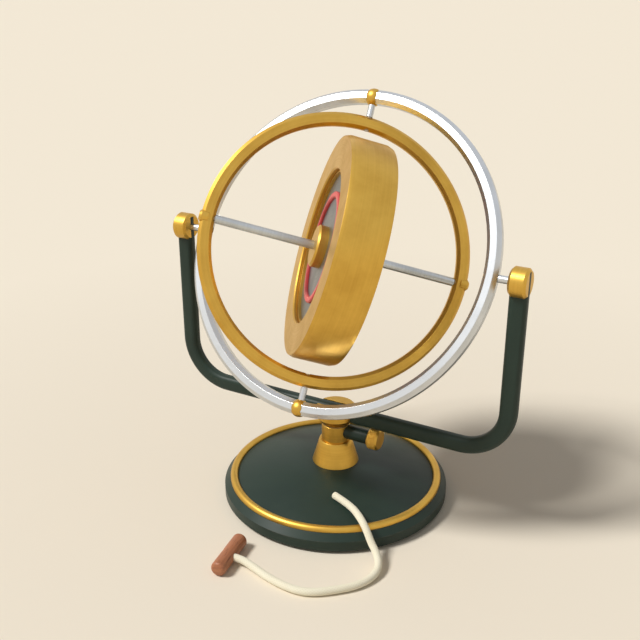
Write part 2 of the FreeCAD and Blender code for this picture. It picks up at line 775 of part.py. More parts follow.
def ring_slot(label, radius, thickness, width, bevel):
    """The ring with a slot's clearance all round, as a cutting tool."""
    both = size.slot_fit * 2
    return ring_body(label, radius + size.slot_fit, thickness + both, width + both, bevel)


def ball_boss(end, sign, slot):
    """A ball round the outer ring, over one of its gimbal pins."""
    label = f"outer_ring_{end}_boss"
    ball = size.outer_ring_thickness / 2 + size.ring_boss_rise
    middle = size.outer_ring_radius - size.outer_ring_thickness / 2
    outline = [(middle - ball, 0.0), (middle, ball), (middle + ball, 0.0)]
    body = new_body(label)
    spun(body, "Z", mirrored(outline, sign), arcs={0: ball * sign, 1: ball * sign})
    hole = size.gimbal_radius + size.seat_fit
    inside = middle - ball - OUTSIDE
    pin_hole = side_rod(f"{label}_hole", "Z", sign, hole, inside, size.outer_ring_radius)
    finished(label, without(label, body, slot, pin_hole), ON_OUTER_RING)


def axle_boss(side, sign, slot):
    """A round boss that straddles the inner ring over one of the axle's bearings."""
    label = f"{side}_axle_boss"
    start = inner_ring_radius - size.axle_boss_reach
    end = inner_ring_radius + size.axle_boss_rise
    radius = size.axle_boss_radius
    bevel = size.axle_boss_bevel
    outline = [
        (start, 0.0),
        (start, radius),
        (end - bevel, radius),
        (end, radius - bevel),
        (end, 0.0),
    ]
    body = new_body(label)
    spun(body, "X", mirrored(outline, sign))
    hole = size.inner_bush_radius + size.seat_fit
    inside = start - OUTSIDE
    bush_hole = side_rod(f"{label}_hole", "X", sign, hole, inside, inner_ring_radius)
    finished(label, without(label, body, slot, bush_hole), ON_INNER_RING)


def make_outer_ring():
    radius = size.outer_ring_radius
    body = ring_body(
        "outer_ring",
        radius,
        size.outer_ring_thickness,
        size.outer_ring_width,
        size.outer_ring_bevel,
    )
    drilled(body, "YZ_Plane", size.outer_bush_radius + size.seat_fit, "bush_hole")
    drilled(body, "XY_Plane", size.gimbal_radius + size.seat_fit, "pin_hole")
    finished("outer_ring", body, ON_OUTER_RING)
    bush = bush_outline(outer_ring_bore, radius, size.pivot_journal, size.outer_bush_radius)
    for side, sign in SIDES:
        turned_piece(f"outer_ring_{side}_bush", "X", mirrored(bush, sign), ON_OUTER_RING)
    shoulder = inner_ring_radius + size.shoulder_gap
    pin = [
        (radius - size.end_relief, 0.0),
        (radius - size.end_relief, size.gimbal_radius),
        (shoulder, size.gimbal_radius),
        (shoulder, size.gimbal_journal),
        (inner_ring_bore + size.shoulder_gap, size.gimbal_journal),
        (inner_ring_bore + size.shoulder_gap, 0.0),
    ]
    slot = ring_slot(
        "outer_ring_slot",
        radius,
        size.outer_ring_thickness,
        size.outer_ring_width,
        size.outer_ring_bevel,
    )
    for end, sign in ENDS:
        ball_boss(end, sign, slot)
        turned_piece(f"{end}_gimbal_pin", "Z", mirrored(pin, sign), ON_OUTER_RING)


def make_inner_ring():
    radius = inner_ring_radius
    body = ring_body(
        "inner_ring",
        radius,
        size.inner_ring_thickness,
        size.inner_ring_width,
        size.inner_ring_bevel,
    )
    hole = size.inner_bush_radius + size.seat_fit
    drilled(body, "YZ_Plane", hole, "axle_hole")
    drilled(body, "XY_Plane", hole, "bush_hole")
    finished("inner_ring", body, ON_INNER_RING)
    bush = bush_outline(inner_ring_bore, radius, size.gimbal_journal, size.inner_bush_radius)
    for end, sign in ENDS:
        turned_piece(f"inner_ring_{end}_bush", "Z", mirrored(bush, sign), ON_INNER_RING)
    bearing = bush_outline(inner_ring_bore, radius, size.axle_journal, size.inner_bush_radius)
    slot = ring_slot(
        "inner_ring_slot",
        radius,
        size.inner_ring_thickness,
        size.inner_ring_width,
        size.inner_ring_bevel,
    )
    for side, sign in SIDES:
        turned_piece(f"{side}_axle_bearing", "X", mirrored(bearing, sign), ON_INNER_RING)
        axle_boss(side, sign, slot)


# ---------------------------------------------------------------- the flywheel


def make_rim():
    face = size.rim_width / 2
    ledge_end = face - size.ledge_depth
    groove_end = ledge_end - size.groove_width
    half = [
        (face - size.rim_bevel_width, rotor_radius),
        (face, rotor_radius - size.rim_bevel_depth),
        (face, ledge_radius + size.mouth_bevel),
        (face - size.mouth_bevel, ledge_radius),
        (ledge_end, ledge_radius),
        (ledge_end, ledge_radius + size.groove_depth),
        (groove_end, ledge_radius + size.groove_depth),
        (groove_end, web_radius),
    ]
    other = [(-along, radius) for along, radius in reversed(half)]
    turned_piece("rotor_rim", "X", half + other, ON_INNER_RING)


def make_web():
    bore = size.spool_radius + size.seat_fit
    web = tube(-web_face, web_face, bore, web_radius - size.seat_fit)
    turned_piece("rotor_web", "X", web, ON_INNER_RING)
    inner = size.band_radius - size.band_width / 2
    outer = size.band_radius + size.band_width / 2
    top = web_face + size.band_height
    band = [
        (web_face, inner),
        (top - size.band_bevel, inner),
        (top, inner + size.band_bevel),
        (top, outer - size.band_bevel),
        (top - size.band_bevel, outer),
        (web_face, outer),
    ]
    for side, sign in SIDES:
        turned_piece(f"rotor_{side}_red_band", "X", mirrored(band, sign), ON_INNER_RING)


def make_rotor_hub():
    """A spool that passes through the web from the left, and the hub that caps it."""
    bore = size.axle_radius + size.seat_fit
    edge = size.boss_radius - size.boss_bevel
    spool_end = boss_face - size.spool_end_gap
    spool = [
        (-boss_face, bore),
        (-boss_face, edge),
        (-boss_face + size.boss_bevel, size.boss_radius),
        (-web_face, size.boss_radius),
        (-web_face, size.spool_radius),
        (spool_end, size.spool_radius),
        (spool_end, bore),
    ]
    turned_piece("rotor_left_hub", "X", spool, ON_INNER_RING)
    socket_end = spool_end + size.end_relief
    socket = size.spool_radius + size.seat_fit
    cap = [
        (web_face, socket),
        (web_face, size.boss_radius),
        (boss_face - size.boss_bevel, size.boss_radius),
        (boss_face, edge),
        (boss_face, bore),
        (socket_end, bore),
        (socket_end, socket),
    ]
    turned_piece("rotor_right_hub", "X", cap, ON_INNER_RING)


def make_axle():
    shoulder = inner_ring_bore - size.shoulder_gap
    tip = inner_ring_radius - size.end_relief - size.shoulder_gap
    half = [
        (shoulder, size.axle_radius),
        (shoulder, size.axle_journal),
        (tip, size.axle_journal),
        (tip, 0.0),
    ]
    other = [(-along, radius) for along, radius in reversed(half)]
    turned_piece("rotor_axle", "X", other + half, ON_INNER_RING)


# ---------------------------------------------------------------- the pull cord


def make_handle():
    """The wooden toggle: a rounded rod about Y with a stepped cross hole for the cord."""
    near = size.handle_shift - size.handle_length / 2
    far = size.handle_shift + size.handle_length / 2
    radius = size.handle_radius
    edge = size.handle_round
    outline = [
        (near, 0.0),
        (near, radius - edge),
        (near + edge, radius),
        (far - edge, radius),
        (far, radius - edge),
        (far, 0.0),
    ]
    body = new_body("pull_handle")
    spun(body, "Y", outline, arcs={1: edge, 3: edge})
    hole = size.cord_radius + size.cord_fit
    pocket = size.knot_radius + size.knot_fit
    outside = radius + OUTSIDE
    tools = [
        rod("handle_cord_hole", "X", hole, -outside, outside),
        rod("handle_knot_pocket", "X", pocket, -outside, size.cord_end),
    ]
    finished("pull_handle", without("pull_handle", body, *tools), ON_HANDLE)


def make_knot():
    """The stopper knot, drawn as a rounded plug against the end of the cord."""
    far = size.cord_end - size.knot_length
    radius = size.knot_radius
    edge = size.knot_round
    outline = [
        (size.cord_end, 0.0),
        (size.cord_end, radius - edge),
        (size.cord_end - edge, radius),
        (far + edge, radius),
        (far, radius - edge),
        (far, 0.0),
    ]
    turned_piece("pull_cord_knot", "X", outline, ON_HANDLE, arcs={1: edge, 3: edge})


def from_sheet(alias):
    """A plain number from the sheet, for a shape that is set by code."""
    return float(doc.getObject("Sizes").get(alias))


def handle_point(along_hole):
    """A point on the handle's cord hole, from the hole's middle."""
    turn = math.radians(from_sheet("handle_turn"))
    x = from_sheet("handle_along") + along_hole * math.cos(turn)
    y = from_sheet("handle_across") + along_hole * math.sin(turn)
    return (x, y, from_sheet("handle_radius"))


def cord_path(route):
    """Straight runs with an arc at each point, tangent to the runs on both sides."""
    points = [FreeCAD.Vector(*point) for point in route]
    edges = []
    radii = []
    here = points[0]
    for before, corner, after in zip(points, points[1:], points[2:]):
        coming = (corner - before).normalize()
        going = (after - corner).normalize()
        shorter = min((corner - before).Length, (after - corner).Length)
        turn = coming.getAngle(going)
        back = ARC_SHARE * shorter
        radius = back / math.tan(turn / 2)
        start = corner - coming * back
        end = corner + going * back
        inward = (going - coming).normalize()
        centre = corner + inward * math.hypot(radius, back)
        edges.append(Part.LineSegment(here, start).toShape())
        edges.append(Part.Arc(start, centre - inward * radius, end).toShape())
        radii.append(round(radius, 1))
        here = end
    edges.append(Part.LineSegment(here, points[-1]).toShape())
    return Part.Wire(edges), radii


def make_cord():
    route = CORD_ROUTE + [handle_point(from_sheet("cord_end"))]
    path, radii = cord_path(route)
    radius = from_sheet("cord_radius")
    start = path.Vertexes[0].Point
    direction = path.Edges[0].tangentAt(path.Edges[0].FirstParameter)
    section = Part.Wire(Part.Circle(start, direction, radius).toShape())
    cord = doc.addObject("Part::Feature", "cord")
    cord.Shape = path.makePipeShell([section], True, True)
    finished("pull_cord", cord)
    expected = math.pi * radius**2 * path.Length
    print("cord length", round(path.Length, 1), "bend radii", radii)
    print("cord volume over section times length", round(cord.Shape.Volume / expected, 4))


# ---------------------------------------------------------------- build, check and write


def check_document():
    """Stops if anything in the document failed to compute."""
    for thing in doc.Objects:
        if "Invalid" in thing.State or "Error" in thing.State:
            raise RuntimeError(f"{thing.Label} did not compute: {thing.State}")
    for piece in pieces:
        shape = piece.Shape
        if shape.isNull() or not shape.isValid() or shape.Volume <= 0:
            raise RuntimeError(f"{piece.Label} has no valid shape")
        if len(shape.Solids) != 1:
            raise RuntimeError(f"{piece.Label} has {len(shape.Solids)} solids and not one")


def write_parts():
    os.makedirs("parts", exist_ok=True)
    for piece in pieces:
        piece.Shape.exportStep(f"parts/{piece.Label}.step")
        print(piece.Label, round(piece.Shape.Volume, 1))


make_base()
make_column()
make_lock()
make_yoke()
make_hub()
make_stem()
make_trunnions()
make_outer_ring()
make_inner_ring()
make_rim()
make_web()
make_rotor_hub()
make_axle()
make_handle()
make_knot()
make_cord()
doc.recompute()
check_document()
write_parts()
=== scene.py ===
"""Gyroscope on stand: the finishes, the pull cord and the studio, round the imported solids.

Metres, +Z up. Every turned piece gets a finish whose tool marks run round its own lathe
axis, and most of those axes come from the frame's joints.
"""

import json
import math

import bpy
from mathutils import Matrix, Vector


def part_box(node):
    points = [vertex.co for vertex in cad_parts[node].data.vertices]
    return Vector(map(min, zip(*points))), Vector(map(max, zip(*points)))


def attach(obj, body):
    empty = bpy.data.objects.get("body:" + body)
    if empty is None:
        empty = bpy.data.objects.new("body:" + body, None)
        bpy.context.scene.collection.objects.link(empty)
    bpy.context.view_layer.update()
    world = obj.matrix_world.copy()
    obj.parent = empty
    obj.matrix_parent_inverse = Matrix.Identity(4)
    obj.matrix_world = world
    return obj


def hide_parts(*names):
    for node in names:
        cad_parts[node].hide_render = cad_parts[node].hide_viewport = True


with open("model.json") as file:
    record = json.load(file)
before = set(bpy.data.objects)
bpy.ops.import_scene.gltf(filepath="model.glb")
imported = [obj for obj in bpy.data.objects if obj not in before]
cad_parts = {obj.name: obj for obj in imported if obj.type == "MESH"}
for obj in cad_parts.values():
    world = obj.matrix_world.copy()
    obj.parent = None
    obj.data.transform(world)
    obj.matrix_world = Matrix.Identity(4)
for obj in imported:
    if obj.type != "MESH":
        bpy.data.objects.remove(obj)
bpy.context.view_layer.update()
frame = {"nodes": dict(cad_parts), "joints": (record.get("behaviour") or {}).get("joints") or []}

MM = 0.001
nodes = frame["nodes"]
joints = {joint["name"]: joint for joint in frame["joints"]}

# ------------------------------------------------------------------ axes of the pieces

UP = Vector((0, 0, 1))
ORIGIN = Vector((0, 0, 0))
YOKE_AXIS = Vector(joints["outer_ring_tilt"]["axis"]).normalized()
GIMBAL_AXIS = Vector(joints["inner_ring_turn"]["axis"]).normalized()
SPIN_AXIS = Vector(joints["flywheel_spin"]["axis"]).normalized()
CENTRE = Vector(joints["outer_ring_tilt"]["pos_m"])
LOCK_POINT = Vector(joints["clamp_screw_turn"]["pos_m"])

HANDLE_LOW, HANDLE_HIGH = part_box("pull_handle")
HANDLE_MIDDLE = (HANDLE_LOW + HANDLE_HIGH) / 2
HANDLE_TURN = math.radians(9)  # how far the toggle is turned where it lies
HOLE_AXIS = Vector((math.cos(HANDLE_TURN), math.sin(HANDLE_TURN), 0))
HANDLE_AXIS = Vector((-math.sin(HANDLE_TURN), math.cos(HANDLE_TURN), 0))

# Each lathe is a point on the axis and the axis's direction.
LATHES = {
    "column": (ORIGIN, UP),
    "yoke_pivots": (CENTRE, YOKE_AXIS),
    "outer_ring": (CENTRE, GIMBAL_AXIS.cross(YOKE_AXIS)),
    "gimbal_pins": (CENTRE, GIMBAL_AXIS),
    "inner_ring": (CENTRE, SPIN_AXIS.cross(GIMBAL_AXIS)),
    "flywheel": (CENTRE, SPIN_AXIS),
    "clamp": (LOCK_POINT, Vector((1, 0, 0))),
    "toggle": (HANDLE_MIDDLE, HANDLE_AXIS),
}

# ------------------------------------------------------------------ node helpers


class Web:
    """A node tree that is filled by short calls."""

    def __init__(self, tree):
        self.tree = tree

    def add(self, kind, inputs=None, **settings):
        """One node, with its settings, and with its inputs by name."""
        node = self.tree.nodes.new(kind)
        for name, value in settings.items():
            setattr(node, name, value)
        for key, value in (inputs or {}).items():
            self.feed(node.inputs[key], value)
        return node

    def feed(self, socket, value):
        """Links another node's socket to this one, or gives it a plain value."""
        if isinstance(value, bpy.types.NodeSocket):
            self.tree.links.new(value, socket)
        else:
            socket.default_value = value

    def maths(self, operation, *values, clamp=False):
        node = self.add("ShaderNodeMath", operation=operation, use_clamp=clamp)
        for index, value in enumerate(values):
            self.feed(node.inputs[index], value)
        return node.outputs[0]

    def vector(self, operation, *values):
        node = self.add("ShaderNodeVectorMath", operation=operation)
        for index, value in enumerate(values):
            self.feed(node.inputs[index], value)
        return node.outputs["Value" if operation in ("DOT_PRODUCT", "LENGTH") else "Vector"]

    def remap(self, value, low, high, to_low=0.0, to_high=1.0):
        """The value's range from low to high, drawn out to the one from to_low to to_high."""
        limits = {"Value": value, "From Min": low, "From Max": high}
        limits.update({"To Min": to_low, "To Max": to_high})
        return self.add("ShaderNodeMapRange", limits).outputs["Result"]

    def blend(self, share, first, second):
        """The first colour where share is 0, and the second where it is 1."""
        node = self.add("ShaderNodeMix", data_type="RGBA")
        colours = [socket for socket in node.inputs if socket.type == "RGBA"]
        self.feed(node.inputs["Factor"], share)
        self.feed(colours[0], first)
        self.feed(colours[1], second)
        return next(socket for socket in node.outputs if socket.type == "RGBA")

    def noise(self, vector, scale, detail=2.0, roughness=0.5):
        values = {"Vector": vector, "Scale": scale, "Detail": detail, "Roughness": roughness}
        return self.add("ShaderNodeTexNoise", values).outputs["Fac"]

    def group_socket(self, kind, name, value=None):
        """One named socket of a group, with its default value."""
        socket = self.tree.interface.new_socket(name, in_out=kind[0], socket_type=kind[1])
        if value is not None:
            socket.default_value = value


IN_VECTOR = ("INPUT", "NodeSocketVector")
IN_VALUE = ("INPUT", "NodeSocketFloat")
OUT_VALUE = ("OUTPUT", "NodeSocketFloat")


def new_group(name, inputs, outputs):
    """A shader group's web, its input node and its output node."""
    tree = bpy.data.node_groups.new(name, "ShaderNodeTree")
    web = Web(tree)
    for socket_name, kind, value in inputs:
        web.group_socket(kind, socket_name, value)
    for socket_name in outputs:
        web.group_socket(OUT_VALUE, socket_name)
    return web, tree.nodes.new("NodeGroupInput"), tree.nodes.new("NodeGroupOutput")


def use_group(web, group, **inputs):
    """Places a group in a material. An input's name has _ for each space."""
    node = web.add("ShaderNodeGroup", node_tree=group)
    for name, value in inputs.items():
        web.feed(node.inputs[name.replace("_", " ")], value)
    return node


# ------------------------------------------------------------------ shared surface effects

FACE_LEAN = (0.6, 0.8)  # cosines to the axis between which a side passes into a face
BANDS_PER_LINE = 0.06
EDGE_AGREES = (0.995, 0.90)  # cosine from true to rounded normal: no wear, and full wear
WEAR_BREAKS = (0.95, 1.25)  # sum of two noises at which wear starts, and at which it is whole
SCRATCH_TURNS = ((0.3, 0.5, 0.2), (1.2, -0.4, 1.9))
SCRATCH_SHAPE = (1.0, 14.0, 14.0)  # a scratch is 14 times as long as it is wide
SCRATCH_RARITY = (0.72, 0.80)  # noise at which a scratch starts, and at which it is whole


def make_tool_marks():
    """Fine lines left by a lathe: round the axis on a side, and in circles on a face."""
    web, given, out = new_group(
        "tool marks",
        [
            ("Point", IN_VECTOR, None),
            ("Facing", IN_VECTOR, None),
            ("Lines per metre", IN_VALUE, 4000.0),
        ],
        ["Lines", "Bands"],
    )
    parts = web.add("ShaderNodeSeparateXYZ", {"Vector": given.outputs["Point"]})
    flat = web.add("ShaderNodeCombineXYZ", {"X": parts.outputs["X"], "Y": parts.outputs["Y"]})
    radius = web.vector("LENGTH", flat.outputs[0])
    side = web.add("ShaderNodeSeparateXYZ", {"Vector": given.outputs["Facing"]})
    on_face = web.remap(web.maths("ABSOLUTE", side.outputs["Z"]), *FACE_LEAN)
    from_face = web.maths("MULTIPLY", radius, on_face)
    off_face = web.maths("SUBTRACT", 1.0, on_face)
    along = web.maths("MULTIPLY", parts.outputs["Z"], off_face)
    travel = web.maths("ADD", from_face, along)
    count = web.maths("MULTIPLY", travel, given.outputs["Lines per metre"])
    fine = web.add("ShaderNodeTexNoise", {"W": count, "Detail": 3.0}, noise_dimensions="1D")
    slow = web.maths("MULTIPLY", count, BANDS_PER_LINE)
    broad = web.add("ShaderNodeTexNoise", {"W": slow, "Detail": 1.0}, noise_dimensions="1D")
    web.feed(out.inputs["Lines"], fine.outputs["Fac"])
    web.feed(out.inputs["Bands"], broad.outputs["Fac"])
    return web.tree


def make_edge_wear():
    """Where edges and corners are rubbed, broken up by a fine noise."""
    web, given, out = new_group(
        "edge wear",
        [
            ("Point", IN_VECTOR, None),
            ("Reach", IN_VALUE, 0.6 * MM),
            ("Amount", IN_VALUE, 0.5),
        ],
        ["Wear"],
    )
    rounded = web.add("ShaderNodeBevel", {"Radius": given.outputs["Reach"]}, samples=6)
    sharp = web.add("ShaderNodeNewGeometry").outputs["Normal"]
    alike = web.vector("DOT_PRODUCT", rounded.outputs["Normal"], sharp)
    edge = web.remap(alike, *EDGE_AGREES)
    breaks = web.noise(given.outputs["Point"], scale=420.0, detail=4.0, roughness=0.65)
    patches = web.noise(given.outputs["Point"], scale=45.0)
    chance = web.remap(web.maths("ADD", breaks, patches), *WEAR_BREAKS)
    worn = web.maths("MULTIPLY", edge, chance)
    worn = web.maths("MULTIPLY", worn, given.outputs["Amount"], clamp=True)
    web.feed(out.inputs["Wear"], worn)
    return web.tree


def make_handling():
    """Cloudy variation from handling and age, with sparse fine scratches over it."""
    web, given, out = new_group(
        "handling",
        [
            ("Point", IN_VECTOR, None),
            ("Cloud scale", IN_VALUE, 60.0),
            ("Scratch scale", IN_VALUE, 160.0),
        ],
        ["Clouds", "Scratches"],
    )
    point = given.outputs["Point"]
    clouds = web.noise(point, given.outputs["Cloud scale"], detail=4.0, roughness=0.6)
    web.feed(out.inputs["Clouds"], clouds)
    layers = []
    for turn in SCRATCH_TURNS:
        turned = web.add(
            "ShaderNodeMapping",
            {"Vector": point, "Rotation": turn, "Scale": SCRATCH_SHAPE},
        )
        scale = given.outputs["Scratch scale"]
        streak = web.noise(turned.outputs[0], scale, detail=1.0, roughness=0.4)
        layers.append(web.remap(streak, *SCRATCH_RARITY))
    web.feed(out.inputs["Scratches"], web.maths("MAXIMUM", *layers))
    return web.tree


TOOL_MARKS = make_tool_marks()
EDGE_WEAR = make_edge_wear()
HANDLING = make_handling()


# ------------------------------------------------------------------ finishes

USUAL_NOISE = (0.3, 0.7)  # the range in which most of a noise lies


def start_material(name):
    """A material with its web, its Principled shader and the object's own coordinates."""
    material = bpy.data.materials.new(name)
    material.use_nodes = True
    web = Web(material.node_tree)
    shader = next(node for node in web.tree.nodes if node.type == "BSDF_PRINCIPLED")
    place = web.add("ShaderNodeTexCoord")
    return material, web, shader, place


def on_lathe(web, place, lathe):
    """The point and the normal seen from a lathe axis, which becomes their Z."""
    centre, axis = LATHES[lathe]
    turn = axis.rotation_difference(UP).to_matrix()
    angles = turn.to_euler()
    shift = -(turn @ centre)
    point = web.add(
        "ShaderNodeMapping",
        {"Vector": place.outputs["Object"], "Location": shift, "Rotation": angles},
    )
    facing = web.add(
        "ShaderNodeMapping",
        {"Vector": place.outputs["Normal"], "Rotation": angles},
        vector_type="VECTOR",
    )
    return point.outputs[0], facing.outputs[0]


def rough_normal(web, shader, height, depth, edge=0.3 * MM):
    """Feeds the shader a bump of that depth over slightly rounded edges."""
    rounded = web.add("ShaderNodeBevel", {"Radius": edge}, samples=4)
    values = {"Height": height, "Distance": depth, "Normal": rounded.outputs["Normal"]}
    web.feed(shader.inputs["Normal"], web.add("ShaderNodeBump", values).outputs["Normal"])


def plain(shader, **values):
    """Numbers that are the same all over go on the shader's own sockets."""
    for name, value in values.items():
        shader.inputs[name.replace("_", " ")].default_value = value


METAL_CLOUDS = (0.38, 0.68)  # cloud values at which tarnish starts, and at which it is full
METAL_BANDS = (0.35, 0.65)  # and the same for bands
CLOUDED_SHARE = 0.65  # share of the tarnish that lies in clouds
BANDED_SHARE = 0.22  # and in bands round the axis
EDGE_SHINE = 0.7  # share of the tarnish that a worn edge has lost
LINE_GLOSS = (-0.02, 0.03)  # what the tool's lines do to the roughness
SCRATCH_HAZE = 0.08  # roughness that a scratch adds to metal
SCRATCH_CUT = 0.5  # depth of a scratch, as a share of the tool's lines
LINE_DEPTH = 0.006 * MM


def turned_metal(name, lathe, clean, tarnished, gloss, marks):
    """A lathe-turned metal. gloss is its lowest and highest roughness."""
    material, web, shader, place = start_material(name)
    point, facing = on_lathe(web, place, lathe)
    in_object = place.outputs["Object"]
    tool = use_group(web, TOOL_MARKS, Point=point, Facing=facing, Lines_per_metre=marks)
    worn = use_group(web, HANDLING, Point=in_object, Cloud_scale=55.0)
    edge = use_group(web, EDGE_WEAR, Point=in_object, Reach=0.7 * MM, Amount=0.8)
    lines = tool.outputs["Lines"]
    scratches = worn.outputs["Scratches"]
    cloudy = web.remap(worn.outputs["Clouds"], *METAL_CLOUDS)
    banded = web.remap(tool.outputs["Bands"], *METAL_BANDS, to_high=BANDED_SHARE)
    dull = web.maths("ADD", web.maths("MULTIPLY", cloudy, CLOUDED_SHARE), banded, clamp=True)
    bright = web.maths("MULTIPLY", edge.outputs["Wear"], EDGE_SHINE)
    dull = web.maths("SUBTRACT", dull, bright, clamp=True)
    web.feed(shader.inputs["Base Color"], web.blend(dull, clean, tarnished))
    rough = web.remap(dull, 0.0, 1.0, *gloss)
    rough = web.maths("ADD", rough, web.remap(lines, *USUAL_NOISE, *LINE_GLOSS))
    rough = web.maths("ADD", rough, web.maths("MULTIPLY", scratches, SCRATCH_HAZE))
    web.feed(shader.inputs["Roughness"], rough)
    scored = web.maths("SUBTRACT", lines, web.maths("MULTIPLY", scratches, SCRATCH_CUT))
    rough_normal(web, shader, scored, LINE_DEPTH)
    plain(shader, Metallic=1.0)
    return material


ENAMEL_CLOUDS = (0.35, 0.70)
ENAMEL_SCRATCH_HAZE = 0.10  # roughness that a scratch adds to enamel
ENAMEL_EDGE_HAZE = 0.2  # and a worn edge
PEEL_SHARE = 0.4  # height of the fine peel beside the broad hollows
PEEL_DEPTH = 0.05 * MM


def enamel(name, deep, lifted, worn_to, gloss):
    """Stoved enamel: a satin coat with a faint orange peel, rubbed through at edges."""
    material, web, shader, place = start_material(name)
    point = place.outputs["Object"]
    edge = use_group(web, EDGE_WEAR, Point=point, Reach=1.1 * MM, Amount=0.75)
    worn = use_group(web, HANDLING, Point=point, Cloud_scale=38.0, Scratch_scale=110.0)
    cloudy = web.remap(worn.outputs["Clouds"], *ENAMEL_CLOUDS)
    colour = web.blend(cloudy, deep, lifted)
    colour = web.blend(edge.outputs["Wear"], colour, worn_to)
    web.feed(shader.inputs["Base Color"], colour)
    scratched = web.maths("MULTIPLY", worn.outputs["Scratches"], ENAMEL_SCRATCH_HAZE)
    rubbed = web.maths("MULTIPLY", edge.outputs["Wear"], ENAMEL_EDGE_HAZE)
    rough = web.maths("ADD", web.remap(cloudy, 0.0, 1.0, *gloss), scratched)
    web.feed(shader.inputs["Roughness"], web.maths("ADD", rough, rubbed))
    peel = web.noise(point, scale=750.0)
    hollows = web.noise(point, scale=120.0)
    height = web.maths("ADD", web.maths("MULTIPLY", peel, PEEL_SHARE), hollows)
    rough_normal(web, shader, height, PEEL_DEPTH, edge=0.5 * MM)
    plain(shader, Specular_IOR_Level=0.24, Coat_Weight=0.06, Coat_Roughness=0.35)
    return material


GRAIN_STRETCH = (1.0, 1.0, 0.10)  # grain is ten times as long as it is wide
PORE_STRETCH = (1.0, 1.0, 0.07)
RING_CONTRAST = (0.7, 1.15)
GRAIN_RANGE = (0.30, 0.72)
PORE_RARITY = (0.60, 0.70)  # noise at which a pore starts, and at which it is whole
PORE_DARKNESS = 0.75
GRAIN_HEIGHT = 0.6  # height of the grain beside the depth of the pores
GRAIN_DEPTH = 0.05 * MM
VARNISH_GLOSS = (0.42, 0.62)


def varnished_wood(name, lathe, pale, dark, pore):
    """Turned hardwood: long grain along the axis, short pores and worn varnish."""
    material, web, shader, place = start_material(name)
    point, _ = on_lathe(web, place, lathe)
    long = web.add("ShaderNodeMapping", {"Vector": point, "Scale": GRAIN_STRETCH})
    figure = web.noise(long.outputs[0], scale=420.0, detail=4.0, roughness=0.6)
    rings = web.add(
        "ShaderNodeTexWave",
        {"Vector": long.outputs[0], "Scale": 260.0, "Distortion": 5.0, "Detail": 3.0},
        wave_type="RINGS",
        rings_direction="X",
    )
    ringed = web.remap(rings.outputs["Fac"], 0.0, 1.0, *RING_CONTRAST)
    share = web.maths("MULTIPLY", figure, ringed)
    wood = web.blend(web.remap(share, *GRAIN_RANGE), dark, pale)
    fibre = web.add("ShaderNodeMapping", {"Vector": point, "Scale": PORE_STRETCH})
    pores = web.remap(web.noise(fibre.outputs[0], scale=2600.0), *PORE_RARITY)
    colour = web.blend(web.maths("MULTIPLY", pores, PORE_DARKNESS), wood, pore)
    edge = use_group(web, EDGE_WEAR, Point=point, Reach=0.9 * MM, Amount=0.6)
    web.feed(shader.inputs["Base Color"], web.blend(edge.outputs["Wear"], colour, pale))
    handled = web.noise(point, scale=150.0, detail=3.0, roughness=0.6)
    web.feed(shader.inputs["Roughness"], web.remap(handled, *USUAL_NOISE, *VARNISH_GLOSS))
    grain = web.maths("SUBTRACT", web.maths("MULTIPLY", figure, GRAIN_HEIGHT), pores)
    rough_normal(web, shader, grain, GRAIN_DEPTH)
    plain(shader, Coat_Weight=0.15, Coat_Roughness=0.3)
    return material


CROWN_RANGE = (0.0, 0.7)  # braid heights over which the painted shade in a strand's hollow turns to the pale crown
SOIL_RANGE = (0.42, 0.75)
SOIL_DARKNESS = 0.35
FIBRE_STRETCH = (9.0, 90.0, 1)  # loose fibres lie round the cord more than along it
FIBRE_DEPTH = 0.12 * MM
COTTON_GLOSS = (0.82, 0.96)


def cotton(name, pale, painted_shade_and_soil):
    """Braided cotton, with the braid in the mesh, painted shade in the braid's hollows and loose
    fibres in the bump.
    """
    material, web, shader, place = start_material(name)
    crown = web.add("ShaderNodeAttribute", attribute_name="crown").outputs["Fac"]
    clouds = web.noise(place.outputs["Object"], scale=90.0, detail=4.0, roughness=0.6)
    soil = web.remap(clouds, *SOIL_RANGE)
    # Hollows between the strands take the darker colour and crowns the pale one: painted shade
    # between the strands.
    thread_with_painted_shade = web.blend(web.remap(crown, *CROWN_RANGE), painted_shade_and_soil, pale)
    soiled = web.maths("MULTIPLY", soil, SOIL_DARKNESS)
    # Soil darkens the cord towards that same darker colour.
    web.feed(shader.inputs["Base Color"], web.blend(soiled, thread_with_painted_shade, painted_shade_and_soil))
    fibres = web.add("ShaderNodeMapping", {"Vector": place.outputs["UV"], "Scale": FIBRE_STRETCH})
    fuzz = web.noise(fibres.outputs[0], scale=14.0, detail=4.0, roughness=0.7)
    web.feed(shader.inputs["Roughness"], web.remap(fuzz, *USUAL_NOISE, *COTTON_GLOSS))
    rough_normal(web, shader, fuzz, FIBRE_DEPTH)
    plain(shader, Sheen_Weight=0.35, Sheen_Roughness=0.5)
    return material


FELT_RANGE = (0.75, 1.25)
FELT_GLOSS = (0.85, 0.98)
FELT_DEPTH = 0.4 * MM


def baize(name, pale, deep):
    """Green felt: matted short fibres."""
    material, web, shader, place = start_material(name)
    point = place.outputs["Object"]
    matted = web.noise(point, scale=900.0, detail=6.0, roughness=0.75)
    patches = web.noise(point, scale=60.0, detail=3.0)
    share = web.remap(web.maths("ADD", matted, patches), *FELT_RANGE)
    web.feed(shader.inputs["Base Color"], web.blend(share, deep, pale))
    web.feed(shader.inputs["Roughness"], web.remap(matted, *USUAL_NOISE, *FELT_GLOSS))
    height = web.add("ShaderNodeBump", {"Height": matted, "Distance": FELT_DEPTH})
    web.feed(shader.inputs["Normal"], height.outputs["Normal"])
    plain(shader, Sheen_Weight=0.5, Sheen_Roughness=0.4)
    return material


def rgb(red, green, blue):
    return (red, green, blue, 1.0)


